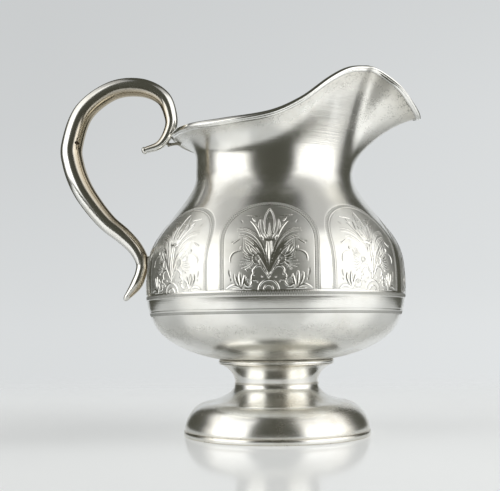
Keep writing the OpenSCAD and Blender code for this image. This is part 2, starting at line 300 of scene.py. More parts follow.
@dataclass(frozen=True)
class SilverFinish:
    """Sterling silver, polished by hand over many years.

    Polishing leaves a soft haze along the direction of rubbing, thin tarnish that warms the colour
    in patches, dark sulphide in corners and cuts, and small pits where the polish never reaches.
    Painted light rides on the same attributes: painted shade between the teeth of the wriggle work,
    under the rim wire and in the vent hole, and a painted warm reflection on the handle's inner side.
    """

    name: str
    # Colours of clean metal, of thin tarnish, of sulphide and of matted ground
    bright: str = "F4F4F1"
    dull: str = "D6D3C9"
    sulphide: str = "3B3A30"
    matted: str = "8C9492"
    # Roughness of clean metal, and what patches and rubbing, tarnish, dirt with painted shade, and matted
    # ground add
    roughness: float = 0.12
    haze: float = 0.08
    aged_haze: float = 0.0
    dirt_and_shade_haze: float = 0.35
    ground_roughness: float = 0.27
    # Sizes of the patterns
    patch_mm: float = 26.0
    rub_mm: float = 0.9
    rub_length_mm: float = 55.56
    rub_depth_mm: float = 0.05
    pit_mm: float = 0.6
    cluster_mm: float = 6.0
    dent_mm: float = 30.0
    # Strengths of the patterns, and the depth of the dents in mm
    patch: float = 0.45
    rub: float = 0.05
    pits: float = 0.75
    tarnish_and_reflection_tint: float = 0.75
    cut_and_shade_dark: float = 0.32
    ground_tint: float = 0.12
    dent: float = 0.0

    def build(self) -> bpy.types.Material:
        """Makes the material.

        Returns:
            The new material.
        """
        mat = bpy.data.materials.new(self.name)
        mat.use_nodes = True
        tree = mat.node_tree
        tree.nodes.clear()
        place = add_node(tree, "ShaderNodeTexCoord").outputs["Object"]
        cut = add_node(tree, "ShaderNodeAttribute", attribute_name="cut").outputs["Fac"]
        ground = add_node(tree, "ShaderNodeAttribute", attribute_name="ground").outputs["Fac"]
        age = add_node(tree, "ShaderNodeAttribute", attribute_name="age").outputs["Fac"]
        # Thin tarnish lies in soft patches a few centimetres across
        patches = add_node(tree, "ShaderNodeTexNoise", {"Scale": 1 / (self.patch_mm * MM), "Detail": 5.0,
                           "Roughness": 0.6, "Distortion": 0.4}, {"Vector": place}).outputs["Fac"]
        patchy = ramp(tree, patches, ((0.42, 0.0), (0.72, 1.0)))
        patch_amount = self.math(tree, "MULTIPLY", patchy, self.patch)
        # Warm tint from tarnish patches and from the attribute: tarnish, and on the handle a painted warm
        # reflection
        warmed = self.math(tree, "MAXIMUM", patch_amount, self.math(tree, "MULTIPLY", age, self.tarnish_and_reflection_tint))
        colour = self.mix(tree, warmed, linear(self.bright), linear(self.dull))
        # Pits and specks of sulphide, clustered where the piece is hard to rub
        specks = add_node(tree, "ShaderNodeTexNoise", {"Scale": 1 / (self.pit_mm * MM), "Detail": 2.0,
                          "Roughness": 0.5}, {"Vector": place}).outputs["Fac"]
        speckle = ramp(tree, specks, ((0.54, 0.0), (0.62, 1.0)))
        clusters = add_node(tree, "ShaderNodeTexNoise", {"Scale": 1 / (self.cluster_mm * MM), "Detail": 3.0},
                            {"Vector": place}).outputs["Fac"]
        crowd = self.math(tree, "MULTIPLY_ADD", patchy, 0.1, third=age)
        crowd = self.math(tree, "MULTIPLY", crowd, ramp(tree, clusters, ((0.42, 0.0), (0.56, 1.0))))
        pitted = self.math(tree, "MULTIPLY", speckle, self.math(tree, "MULTIPLY", crowd, self.pits))
        # Dark from pits, and from the cut attribute: sulphide in cuts, and painted shade where a piece paints
        # it in
        dirt_and_shade = self.math(tree, "MAXIMUM", pitted, self.math(tree, "MULTIPLY", cut, self.cut_and_shade_dark))
        colour = self.mix(tree, dirt_and_shade, colour, linear(self.sulphide))
        tint = self.math(tree, "MULTIPLY", ground, self.ground_tint)
        colour = self.mix(tree, tint, colour, linear(self.matted))
        # Rubbing marks run level round the piece, so the pattern is stretched along X and Y
        level = 1 / (self.rub_length_mm * MM)
        stretch = add_node(tree, "ShaderNodeMapping", {"Scale": (level, level, 1 / (self.rub_mm * MM))},
                           {"Vector": place}).outputs["Vector"]
        marks = add_node(tree, "ShaderNodeTexNoise", {"Scale": 1.0, "Detail": 4.0, "Roughness": 0.65},
                         {"Vector": stretch}).outputs["Fac"]
        rough = self.math(tree, "MULTIPLY_ADD", patchy, self.haze, third=self.roughness)
        rough = self.math(tree, "MULTIPLY_ADD", marks, self.haze, third=rough)
        rough = self.math(tree, "MULTIPLY_ADD", dirt_and_shade, self.dirt_and_shade_haze, third=rough)
        rough = self.math(tree, "MULTIPLY_ADD", age, self.aged_haze, third=rough)
        rough = self.math(tree, "MULTIPLY_ADD", ground, self.ground_roughness - self.roughness, third=rough)
        dents = add_node(tree, "ShaderNodeTexNoise", {"Scale": 1 / (self.dent_mm * MM), "Detail": 1.0},
                         {"Vector": place}).outputs["Fac"]
        wave = add_node(tree, "ShaderNodeBump", {"Strength": 1.0, "Distance": self.dent * MM},
                        {"Height": dents}).outputs["Normal"]
        bump = add_node(tree, "ShaderNodeBump", {"Strength": self.rub, "Distance": self.rub_depth_mm * MM},
                        {"Height": marks, "Normal": wave}).outputs["Normal"]
        shader = add_node(tree, "ShaderNodeBsdfPrincipled", {"Metallic": 1.0},
                          {"Base Color": colour, "Roughness": rough, "Normal": bump})
        add_node(tree, "ShaderNodeOutputMaterial", links={"Surface": shader.outputs["BSDF"]})
        return mat

    @staticmethod
    def math(tree: bpy.types.NodeTree, operation: str, a: bpy.types.NodeSocket, b: object,
             third: object = None) -> bpy.types.NodeSocket:
        """One Math node on sockets or numbers.

        Args:
            tree: The material's node tree.
            operation: The node's operation.
            a: First input.
            b: Second input.
            third: Third input, or None.

        Returns:
            The socket with the result.
        """
        node = add_node(tree, "ShaderNodeMath", operation=operation)
        for k, value in enumerate((a, b, third)):
            if isinstance(value, bpy.types.NodeSocket):
                tree.links.new(value, node.inputs[k])
            elif value is not None:
                node.inputs[k].default_value = value
        return node.outputs["Value"]

    @staticmethod
    def mix(tree: bpy.types.NodeTree, amount: bpy.types.NodeSocket, a: object, b: object,
            ) -> bpy.types.NodeSocket:
        """Mixes two colours, given as sockets or as numbers, by a factor.

        Args:
            tree: The material's node tree.
            amount: The factor.
            a: Colour at factor 0.
            b: Colour at factor 1.

        Returns:
            The socket with the colour.
        """
        node = add_node(tree, "ShaderNodeMix", links={0: amount}, data_type="RGBA")
        for key, value in ((6, a), (7, b)):
            if isinstance(value, bpy.types.NodeSocket):
                tree.links.new(value, node.inputs[key])
            else:
                node.inputs[key].default_value = value
        return node.outputs[2]


# Broad soft highlights that waver a little, with a warm haze and specks where it is hard to rub
BODY = SilverFinish("hand_polished_silver_sheet", roughness=0.12, haze=0.1, aged_haze=0.22, rub=0.7,
                    dent=0.25)
# A crisper surface, on which the cuts catch the light and the matted ground stays even
ENGRAVED = SilverFinish("engraved_silver_sheet", roughness=0.12, haze=0.08, rub=0.45, pits=0.3)
# Softer, warmer silver: the foot is handled less and keeps an olive tarnish
FOOT = SilverFinish("spun_silver_foot", dull="B3A27E", roughness=0.15, haze=0.1, rub=0.45, patch=0.4)
# The brightest metal, with narrow clean highlights
WIRE = SilverFinish("drawn_silver_wire", roughness=0.07, haze=0.04, rub=0.05, patch=0.2, pits=0.3)
# Clean on the outer side, brown-yellow on the side towards the body: tarnish, and a painted warm reflection
HANDLE = SilverFinish("stamped_silver_handle", dull="9A8559", roughness=0.12, haze=0.06, rub=0.03,
                      patch=0.3, pits=0.25, sulphide="3A2C1C")
# Grey and dull, with no clear reflections
SOLDER = SilverFinish("hard_solder", bright="A9A79C", dull="6F6A58", roughness=0.35, haze=0.15, pits=0.8)


# ---------------------------------------------------------------------------------------------
# Body
# ---------------------------------------------------------------------------------------------
@dataclass
class BodyShape:
    """Outline of the body: two halves that meet at a belt, and a hollow curve up to the throat."""

    seat_r: float = 32.6
    seat_z: float = 43.5
    belly_r: float = 75.7
    belly_rise: float = 43.5
    throat_r: float = 46.6
    throat_rise: float = 64.0
    sheet: float = 1.5
    outline: Array = field(init=False)

    def __post_init__(self) -> None:
        """Works out the outline from seat to throat, as radius and height."""
        belly_z = self.seat_z + self.belly_rise
        seat = np.array([self.seat_r, self.seat_z])
        slope = math.radians(11)
        way = np.array([math.cos(slope), math.sin(slope)])
        bowl = [seat, seat + 0.95 * (self.belly_r - self.seat_r) * way,
                [self.belly_r, belly_z - 0.42 * self.belly_rise], [self.belly_r, belly_z]]
        turn = np.array([(self.throat_r + self.belly_r) / 2, belly_z + 0.597 * self.throat_rise])
        slope = math.radians(127.5)
        way = np.array([math.cos(slope), math.sin(slope)])
        brow = [[self.belly_r, belly_z], [self.belly_r, belly_z + 0.306 * self.throat_rise],
                turn - 0.287 * self.throat_rise * way, turn]
        top = belly_z + self.throat_rise
        hollow = [turn, turn + 0.195 * self.throat_rise * way,
                  [self.throat_r, top - 0.126 * self.throat_rise], [self.throat_r, top]]
        self.brow = np.array(brow)
        self.throat_z = top
        self.outline = chain(bowl, brow, hollow)

    def length_at(self, z: float) -> float:
        """Distance along the outline at a height."""
        return float(np.interp(z, self.outline[:, 1], lengths(self.outline)))

    def piece(self, low: float, high: float, count: int) -> Array:
        """The outline between two heights, with count points."""
        return at_length(self.outline, np.linspace(self.length_at(low), self.length_at(high), count))


class Cut(Enum):
    """How the graver or the chasing tool leaves the metal."""

    LINE = "a V-shaped cut"
    RIDGE = "a rounded line left standing between two cuts"
    LEAF = "a crowned leaf with cut edges"


@dataclass(frozen=True)
class Stroke:
    """One stroke of the ornament: a cubic curve on the unrolled panel, in mm, and its width."""

    curve: tuple[tuple[float, float], ...]
    width: float
    cut: Cut = Cut.LINE
    taper: float = 0.6


def saw(turns: Array) -> Array:
    """A zigzag between -1 and 1 with one tooth per turn: four times the distance from mid-turn, less 1."""
    return np.abs(turns % 1 - 0.5) * 4 - 1


def arc_stroke(u: float, v: float, r: float, start: float, sweep: float, width: float,
               cut: Cut) -> list[Stroke]:
    """A round scroll as cubic strokes of up to a quarter turn each, angles in degrees.

    Args:
        u: Sideways place of its centre, in mm.
        v: Upward place of its centre, in mm.
        r: Its radius, in mm.
        start: Where it starts, in degrees.
        sweep: How far it turns, in degrees.
        width: Width of the cut, in mm.
        cut: How it is cut.

    Returns:
        The strokes, one for each part of the arc.
    """
    count = max(1, math.ceil(abs(sweep) / 90))
    step = math.radians(sweep / count)
    pull = 4 / 3 * math.tan(step / 4)
    strokes = []
    for k in range(count):
        a, b = math.radians(start) + k * step, math.radians(start) + (k + 1) * step
        p, q = np.array([math.cos(a), math.sin(a)]), np.array([math.cos(b), math.sin(b)])
        side_p, side_q = np.array([-p[1], p[0]]), np.array([-q[1], q[0]])
        points = [(u, v) + r * e for e in (p, p + pull * side_p, q - pull * side_q, q)]
        strokes.append(Stroke(tuple(map(tuple, points)), width, cut, 0.0))
    return strokes


@dataclass
class PanelOrnament:
    """The engraved flower in an arched panel: u runs sideways and v upwards on the unrolled sheet."""

    half_width: float = 23.7
    spring: float = 25.2
    arch: float = 24.1
    # The border, from inside out: a line, a row of wriggle work, and a fainter line
    inner_line: float = 0.15
    wriggle_row: float = 1.45
    outer_line: float = 2.6
    wriggle_pitch: float = 1.3
    wriggle_reach: float = 0.65
    leaf_rise: float = 0.22
    ridge_rise: float = 0.24
    cut_depth: float = 0.17
    ground_depth: float = 0.03
    line_step: int = 40

    def strokes(self) -> list[Stroke]:
        """The strokes of the right half; the left half mirrors them.

        Returns:
            The strokes.
        """
        line, ridge, leaf = Cut.LINE, Cut.RIDGE, Cut.LEAF
        s = [
            # Bud, with its calyx, cup and stem
            Stroke(((1.7, 29.5), (3.3, 35.0), (3.0, 41.5), (0.0, 46.4)), 0.95, ridge, 0.0),
            Stroke(((1.4, 26.2), (5.0, 29.0), (5.6, 34.0), (4.8, 38.6)), 1.5, leaf),
            Stroke(((2.2, 29.5), (2.6, 33.0), (3.2, 36.0), (4.3, 38.6)), 0.6, line),
            Stroke(((0.0, 27.6), (0.0, 30.0), (0.0, 33.0), (0.0, 36.5)), 0.8, leaf),
            Stroke(((0.5, 27.4), (1.0, 28.6), (1.5, 30.0), (1.8, 31.8)), 0.9, leaf),
            Stroke(((1.0, 27.2), (1.7, 27.8), (2.4, 28.8), (2.8, 30.0)), 0.9, leaf),
            Stroke(((0.0, 25.9), (1.0, 25.9), (2.0, 26.0), (2.8, 26.4)), 1.3, ridge, 0.0),
            Stroke(((0.95, 25.0), (1.05, 19.0), (0.8, 13.0), (0.1, 7.4)), 1.5, leaf, 0.3),
            Stroke(((0.0, 39.8), (0.5, 39.8), (0.9, 39.6), (1.1, 39.2)), 0.6, ridge),
            # Heart-shaped ribbon under the fan, and the drop
            Stroke(((0.1, 6.4), (1.8, 9.2), (4.6, 12.6), (5.2, 15.2)), 0.9, ridge),
            Stroke(((0.0, 6.2), (0.0, 6.5), (0.0, 6.9), (0.0, 7.3)), 1.3, leaf, 0.3),
            Stroke(((1.4, 11.0), (2.0, 13.0), (2.5, 15.0), (2.8, 17.0)), 0.6, line),
            # Outer arc of the fan and a long tendril behind it
            Stroke(((14.2, 20.4), (18.0, 20.6), (20.4, 18.4), (19.8, 14.8)), 0.95, ridge),
            Stroke(((8.2, 8.6), (11.4, 14.0), (14.0, 20.0), (13.4, 26.4)), 0.7, line),
            Stroke(((13.4, 26.4), (13.3, 27.6), (12.6, 28.4), (11.6, 28.6)), 0.7, line),
            # Corner leaves, and the long one that lies in the corner
            Stroke(((14.0, 0.8), (13.4, 3.2), (12.6, 5.4), (12.5, 8.0)), 1.5, leaf),
            Stroke(((14.2, 0.8), (14.6, 4.0), (15.2, 7.0), (15.0, 9.4)), 1.6, leaf),
            Stroke(((14.6, 1.2), (16.4, 4.0), (17.8, 6.0), (17.4, 8.8)), 1.5, leaf),
            Stroke(((14.8, 1.0), (17.4, 3.2), (19.4, 2.8), (22.2, 0.9)), 1.6, leaf),
            Stroke(((13.4, 0.6), (15.6, 0.9), (17.6, 0.9), (19.0, 0.7)), 0.8, ridge),
            Stroke(((13.2, 1.0), (11.6, 0.8), (10.4, 0.6), (8.8, 0.7)), 0.9, leaf),
            # Loose dashes along the border and sprigs beside the bud
            Stroke(((20.4, 10.6), (20.6, 9.4), (20.2, 8.2), (19.8, 7.2)), 1.2, line),
            Stroke(((19.9, 6.2), (20.0, 5.8), (19.9, 5.4), (19.6, 5.0)), 1.0, line),
            Stroke(((5.2, 41.0), (7.0, 41.4), (9.6, 41.6), (12.2, 42.0)), 0.8, leaf),
            Stroke(((8.8, 40.2), (8.4, 39.2), (7.8, 38.2), (6.9, 37.4)), 1.0, leaf),
            Stroke(((14.9, 38.6), (14.5, 38.0), (14.2, 37.4), (14.1, 36.8)), 0.9, line),
            Stroke(((15.2, 26.8), (16.6, 25.8), (17.8, 25.0), (19.0, 24.2)), 0.8, leaf),
            Stroke(((17.6, 25.2), (18.2, 25.4), (18.8, 25.3), (19.3, 24.9)), 0.9, line),
            Stroke(((14.6, 23.0), (14.8, 22.4), (14.9, 21.8), (14.8, 21.2)), 1.0, leaf),
        ]
        # Long leaves, each a sheaf of fine strands that spring from the foot of the stem and curl outwards
        for k in (-1.0, 0.0, 1.0):
            for a, b, c, d in (((0.9, 9.6), (2.6, 15.0), (6.0, 22.0), (12.0, 25.4)),
                               ((0.9, 10.4), (2.4, 18.5), (6.6, 28.2), (15.2, 28.6)),
                               ((1.0, 12.4), (1.6, 22.0), (7.0, 33.6), (16.2, 32.4))):
                s.append(Stroke((a, (b[0] + 0.5 * k, b[1]), (c[0] + 0.8 * k, c[1] - 0.7 * k),
                                 (d[0] + 0.2 * k, d[1] - 1.1 * k)), 0.85, ridge, 0.3))
        s.append(Stroke(((4.4, 27.5), (5.2, 31.5), (7.0, 35.0), (9.6, 37.6)), 1.3, leaf))
        s.append(Stroke(((1.8, 13.0), (3.0, 19.0), (5.6, 22.0), (9.6, 23.6)), 1.0, leaf))
        # Fan blossom: petals round a half-round heart
        for k, turn in enumerate((-40, -28, -17, -6, 5, 16, 27, 38, 49, 60)):
            a = math.radians(turn)
            reach = 8.6 + 1.2 * math.sin(k)
            start = (6.0 + 2.4 * math.cos(a), 16.0 + 2.4 * math.sin(a))
            bend = math.radians(turn - 10)
            middle = (6.0 + 0.55 * reach * math.cos(bend), 16.0 + 0.55 * reach * math.sin(bend))
            end = (6.0 + reach * math.cos(a), 16.0 + reach * math.sin(a))
            s.append(Stroke((start, middle, middle, end), 0.8, leaf))
        s += arc_stroke(6.0, 16.0, 2.4, -100, 220, 0.8, ridge)
        s += arc_stroke(6.0, 16.0, 1.1, 0, 360, 0.7, line)
        # Scrolls under the fan, small dots of light, and the rising sun at the foot of the panel
        s += arc_stroke(5.2, 9.6, 2.7, 160, -200, 1.0, ridge)
        s += arc_stroke(7.2, 6.9, 1.7, 60, -170, 0.9, ridge)
        s += arc_stroke(10.7, 4.3, 2.2, 150, 290, 1.0, ridge)
        s += arc_stroke(10.7, 4.5, 0.8, 0, 360, 0.7, line)
        for u, v in ((7.2, 4.9), (5.4, 3.8), (8.5, 2.3), (3.4, 6.4), (9.2, 11.4), (11.2, 10.2)):
            s.append(Stroke(((u, v), (u + 0.2, v + 0.3), (u + 0.4, v + 0.5), (u + 0.6, v + 0.8)), 0.9, leaf))
        s += arc_stroke(0.0, 0.1, 5.1, 0, 90, 1.1, ridge)
        s += arc_stroke(0.0, 0.1, 2.4, 0, 90, 1.0, ridge)
        return s

    def border(self, u: Array, v: Array) -> tuple[Array, Array]:
        """Distance outside the arched border, and place along it.

        Below the springing the border is two upright lines; above it, half an ellipse, whose
        distance is taken along the ray from its centre.

        Args:
            u: Sideways place, in mm.
            v: Upward place, in mm.

        Returns:
            The distance outside the border and the place along it.
        """
        w, h = self.half_width, self.arch
        y = np.maximum(v - self.spring, 0)
        a = np.arctan2(y / h, np.abs(u) / w)
        rim = np.hypot(w * np.cos(a), h * np.sin(a))
        away = np.where(v > self.spring, np.hypot(u, y) - rim, np.abs(u) - w)
        along = np.where(v > self.spring, self.spring + a * (w + h) / 2, v)
        return away, along

    def wriggle(self, away: Array, along: Array) -> Array:
        """Depth, 0 to 1, of a zigzag cut that swings about a line parallel to the border.

        Args:
            away: Distance outside the border, in mm.
            along: Place along the border, in mm.

        Returns:
            The depth at each point.
        """
        miss = np.abs(away - self.wriggle_row - self.wriggle_reach * saw(along / self.wriggle_pitch))
        slope = 4 * self.wriggle_reach / self.wriggle_pitch
        return np.clip(1.6 - miss / math.hypot(1, slope) / 0.2, 0, 1)

    def relief(self, u: Array, v: Array, hand: np.random.Generator) -> tuple[Array, Array, Array]:
        """Works the ornament over a grid of the unrolled panel.

        Args:
            u: Sideways place of each grid point, in mm.
            v: Upward place of each grid point, in mm.
            hand: Random source for the small differences of work by hand.

        Returns:
            The height in mm, how dark the metal is painted (1 for sulphide in a line, 2 for painted shade
            between the teeth of the wriggle work), and how matted the metal is (1 on the ground, 2 on the
            teeth).
        """
        shake = hand.uniform(-1, 1, (4, 3))
        wide = 0.35 * sum(np.sin((u * p + v * q) / 7 + 3 * r) for p, q, r in shake[:2])
        tall = 0.35 * sum(np.sin((u * p + v * q) / 7 + 3 * r) for p, q, r in shake[2:])
        uu, vv = u + 0.5 * wide, v + 0.5 * tall
        rise, depth, body = np.zeros_like(u), np.zeros_like(u), np.zeros_like(u)
        places = np.linspace(0, 1, self.line_step)
        for stroke in self.strokes():
            for side in (-1, 1):
                line = cubic(stroke.curve, places)
                line = line * (side, 1) + hand.normal(0, 0.12, 2)
                margin = stroke.width + 0.6
                near = ((uu > line[:, 0].min() - margin) & (uu < line[:, 0].max() + margin)
                        & (vv > line[:, 1].min() - margin) & (vv < line[:, 1].max() + margin))
                if not near.any():
                    continue
                gap = np.hypot(uu[near][:, None] - line[:, 0], vv[near][:, None] - line[:, 1])
                nearest = gap.argmin(axis=1)
                share = places[nearest]
                thin = np.clip(np.sin(np.pi * (0.06 + 0.88 * share)), 0, 1) ** stroke.taper
                x = gap[np.arange(len(nearest)), nearest] / (0.5 * stroke.width * thin)
                crown = np.clip(1 - x**2, 0, 1)
                if stroke.cut is Cut.LINE:
                    depth[near] = np.maximum(depth[near], np.clip(1 - x, 0, 1))
                else:
                    high = self.leaf_rise if stroke.cut is Cut.LEAF else self.ridge_rise
                    rise[near] = np.maximum(rise[near], high * crown * min(stroke.width / 1.1, 1.1))
                    body[near] = np.maximum(body[near], crown**0.5)
                    if stroke.cut is Cut.LEAF:
                        edge = np.exp(-(((x - 1.2) / 0.22) ** 2))
                        depth[near] = np.maximum(depth[near], 0.7 * edge * (x > 1))
        depth = depth * (1 - np.clip(body * 2, 0, 1))
        away, along = self.border(u, v)
        inside = ease(-away / 0.5 + 0.5)
        line = np.clip(1 - np.abs(away - self.inner_line) / 0.3, 0, 1)
        faint = np.clip(1 - np.abs(away - self.outer_line) / 0.22, 0, 1) * 0.5
        above = v > 0
        wriggle = self.wriggle(away, along) * above
        # Painted shade between the teeth of the wriggle work
        aside = np.abs(away - self.wriggle_row)
        between = ease(1.6 - aside) * (aside < 0.75) * (1 - wriggle) * above
        depth = np.maximum(depth * inside, np.maximum(line, faint) * above)
        ground = np.maximum(inside * (1 - np.clip(body * 1.4, 0, 1)) * ease(v / 0.6), 2 * wriggle)
        height = (rise * inside - self.cut_depth * np.maximum(depth, 0.7 * wriggle)
                  - self.ground_depth * inside)
        return height, np.maximum(depth, 2 * between), ground


@dataclass(frozen=True)
class EngravedBand:
    """A ring of the body with a row of wriggle work beside fine lines; heights and widths in mm."""

    name: str
    node: str
    low: float
    high: float
    rows: int
    wriggle: float
    tooth_depth: float
    lines: tuple[float, ...]
    line_width: float
    line_depth: float
    line_dark: float
    proud: float = 0.0
    crease: float = 42.0

    def heights(self) -> Array:
        """Heights of the rows of points on the outer face."""
        return np.linspace(self.low, self.high, self.rows)

    def lip(self) -> Array:
        """How far each row stands proud: up over 0.3 mm at the bottom, rolled over 1.4 mm at the top.

        Returns:
            The distance for each row.
        """
        up = self.heights()
        rise = self.proud * ease((up - self.low - 0.25) / 0.3) * ease((self.high - up) / 1.4 + 0.15)
        return np.where(up > self.high - 0.2, rise * (self.high - up) / 0.2, rise)


@dataclass
class Body:
    """The body's pieces: bowl, its engraved line, the belt, eight engraved panels and the upper curve."""

    shape: BodyShape
    panels: int = 8
    # Heights of the joints between the pieces, all in plain metal
    line_low: float = 68.2
    line_high: float = 73.0
    belt_low: float = 77.4
    belt_high: float = 80.6
    panel_top: float = 132.0
    speck_band: float = 59.0
    cut_depth: float = 0.14
    teeth: int = 366
    # Half angle of the engraved field in degrees, and its finest step in mm
    engraved_half: float = 21.0
    cell: float = 0.2
    panel_rows: int = 276
    around: int = 288
    ornament: PanelOrnament = field(default_factory=PanelOrnament)

    def build(self, plain: bpy.types.Material, engraved: bpy.types.Material) -> None:
        """Builds and dresses every piece of the body.

        Args:
            plain: Finish of the plain silver.
            engraved: Finish of the engraved silver.
        """
        self.build_bowl(plain)
        self.build_line(engraved)
        self.build_skirt(plain)
        self.build_belt(engraved)
        for k in range(self.panels):
            self.build_panel(k, engraved)
        self.build_upper(plain)

    def ring(self, low: float, high: float, rows: int, inner_rows: int) -> tuple[Array, Array]:
        """The outer outline between two heights, and the closed loop round the sheet there."""
        outer = self.shape.piece(low, high, rows)
        return outer, np.concatenate([outer, inner_wall(outer, self.shape.sheet, inner_rows)])

    def build_bowl(self, plain: bpy.types.Material) -> None:
        """The bowl from its flat floor up to the engraved line.

        Args:
            plain: Finish of the plain silver.
        """
        outer = self.shape.piece(self.shape.seat_z, self.line_low, 90)
        floor = np.stack([np.linspace(1.0, outer[0, 0], 20)[:-1], np.full(19, outer[0, 1])], axis=1)
        outside = np.concatenate([floor, outer])
        loop = np.concatenate([outside, inner_wall(outside, self.shape.sheet, 60)])
        points = revolve(loop, full_turn(self.around))
        n = len(loop)
        rows = grid_faces(self.around, n, True, False)[:, ::-1]
        first = np.arange(self.around) * n
        obj = make_mesh("bowl_shell", points, rows, (first, (first + n - 1)[::-1]))
        low_down = ease((52 - loop[:, 1]) / 9) * (loop[:, 0] > 30)
        hard_to_rub = 0.4 * np.exp(-(((loop[:, 1] - self.speck_band) / 5) ** 2))
        paint(obj, "age", np.tile(np.maximum(low_down, hard_to_rub), self.around))
        finish_piece(obj, ("bowl",), plain)

    def build_band(self, band: EngravedBand, engraved: bpy.types.Material) -> None:
        """One engraved band, with its zigzag and its lines cut into the outer face.

        Args:
            band: The band's sizes.
            engraved: Finish of the engraved silver.
        """
        _, loop = self.ring(band.low, band.high, band.rows, 3)
        up, rows = band.heights(), band.rows
        angles = full_turn(4 * self.teeth)
        swing = 0.6 * saw(angles * self.teeth / (2 * np.pi))[:, None]
        tooth = np.clip(1.4 - np.abs(up - band.wriggle - swing) / 0.42, 0, 1)
        line = sum(np.clip(1 - np.abs(up - height) / band.line_width, 0, 1) for height in band.lines)
        # Painted shade between the teeth, and the teeth themselves are matted
        between = (np.abs(up - band.wriggle) < 0.7) * (1 - tooth)
        swell, dark, matted = (np.zeros((len(angles), len(loop))) for _ in range(3))
        depth = np.maximum(band.tooth_depth * tooth, band.line_depth * line)
        swell[:, :rows] = band.lip() - self.cut_depth * depth
        dark[:, :rows] = np.maximum(band.line_dark * line, 2.4 * between)
        matted[:, :rows] = 2 * tooth
        obj = round_piece(band.name, loop, len(angles), swell)
        paint(obj, "cut", dark)
        paint(obj, "ground", matted)
        finish_piece(obj, (band.node,), engraved, band.crease)

    def build_line(self, engraved: bpy.types.Material) -> None:
        """A ring of the bowl with one fine line and a row of wriggle work below it.

        Args:
            engraved: Finish of the engraved silver.
        """
        self.build_band(EngravedBand(
            "bowl_line", "bowl", self.line_low, self.line_high, rows=22, wriggle=69.5, tooth_depth=0.8,
            lines=(71.3,), line_width=0.3, line_depth=1.0, line_dark=1.0), engraved)

    def build_skirt(self, plain: bpy.types.Material) -> None:
        """The plain ring of the bowl between its line and the belt."""
        _, loop = self.ring(self.line_high, self.belt_low, 14, 4)
        finish_piece(round_piece("bowl_skirt", loop, self.around), ("bowl",), plain)

    def build_belt(self, engraved: bpy.types.Material) -> None:
        """The belt that covers the seam: a proud lip with wriggle work between two lines.

        Args:
            engraved: Finish of the engraved silver.
        """
        self.build_band(EngravedBand(
            "body_belt", "shoulder", self.belt_low, self.belt_high, rows=30, wriggle=79.1, tooth_depth=0.7,
            lines=(78.1, 80.15), line_width=0.22, line_depth=0.6, line_dark=0.4, proud=0.3, crease=60.0),
            engraved)

    def build_panel(self, k: int, engraved: bpy.types.Material) -> None:
        """One eighth of the shoulder, with an engraved panel in its middle.

        Args:
            k: Number of the panel, from the front.
            engraved: Finish of the engraved silver.
        """
        outer = self.shape.piece(self.belt_high, self.panel_top, self.panel_rows)
        v = lengths(outer)
        loop = np.concatenate([outer, inner_wall(outer, self.shape.sheet, 10)])
        half, edge = self.engraved_half, 180 / self.panels
        fine = int(2 * math.radians(half) * self.shape.belly_r / self.cell)
        turn = np.concatenate([np.linspace(-edge, -half, 7)[:-1], np.linspace(-half, half, fine),
                               np.linspace(half, edge, 7)[1:]])
        angles = np.radians(turn)
        u = angles[:, None] * outer[None, :, 0]
        height, cut, ground = self.ornament.relief(u, np.broadcast_to(v, u.shape).copy(),
                                                   np.random.default_rng(40 + k))
        # The work fades out before the joints between neighbouring pieces
        fade = ease((edge - np.abs(turn)) / (edge - half))[:, None]
        count, rows = len(angles), len(outer)
        swell, cuts, grounds = (np.zeros((count, len(loop))) for _ in range(3))
        swell[:, :rows], cuts[:, :rows], grounds[:, :rows] = height * fade, cut * fade, ground * fade
        centre = -np.pi / 2 + k * 2 * np.pi / self.panels
        points = revolve(loop, angles + centre, swell)
        n = len(loop)
        quads = grid_faces(count, n, False, True)[:, ::-1]
        first, last = np.arange(n), (count - 1) * n + np.arange(n)
        obj = make_mesh(f"engraved_panel_{k + 1}", points, quads, (first, last[::-1]))
        # The cut attribute: sulphide in the cuts, and painted shade between the teeth of the wriggle work
        paint(obj, "cut", cuts)
        paint(obj, "ground", grounds)
        finish_piece(obj, ("shoulder",), engraved, 65)

    def build_upper(self, plain: bpy.types.Material) -> None:
        """The plain hollow curve between the panels and the throat.

        Args:
            plain: Finish of the plain silver.
        """
        _, loop = self.ring(self.panel_top, self.shape.throat_z, 40, 20)
        obj = round_piece("shoulder_hollow", loop, self.around)
        finish_piece(obj, ("shoulder",), plain)


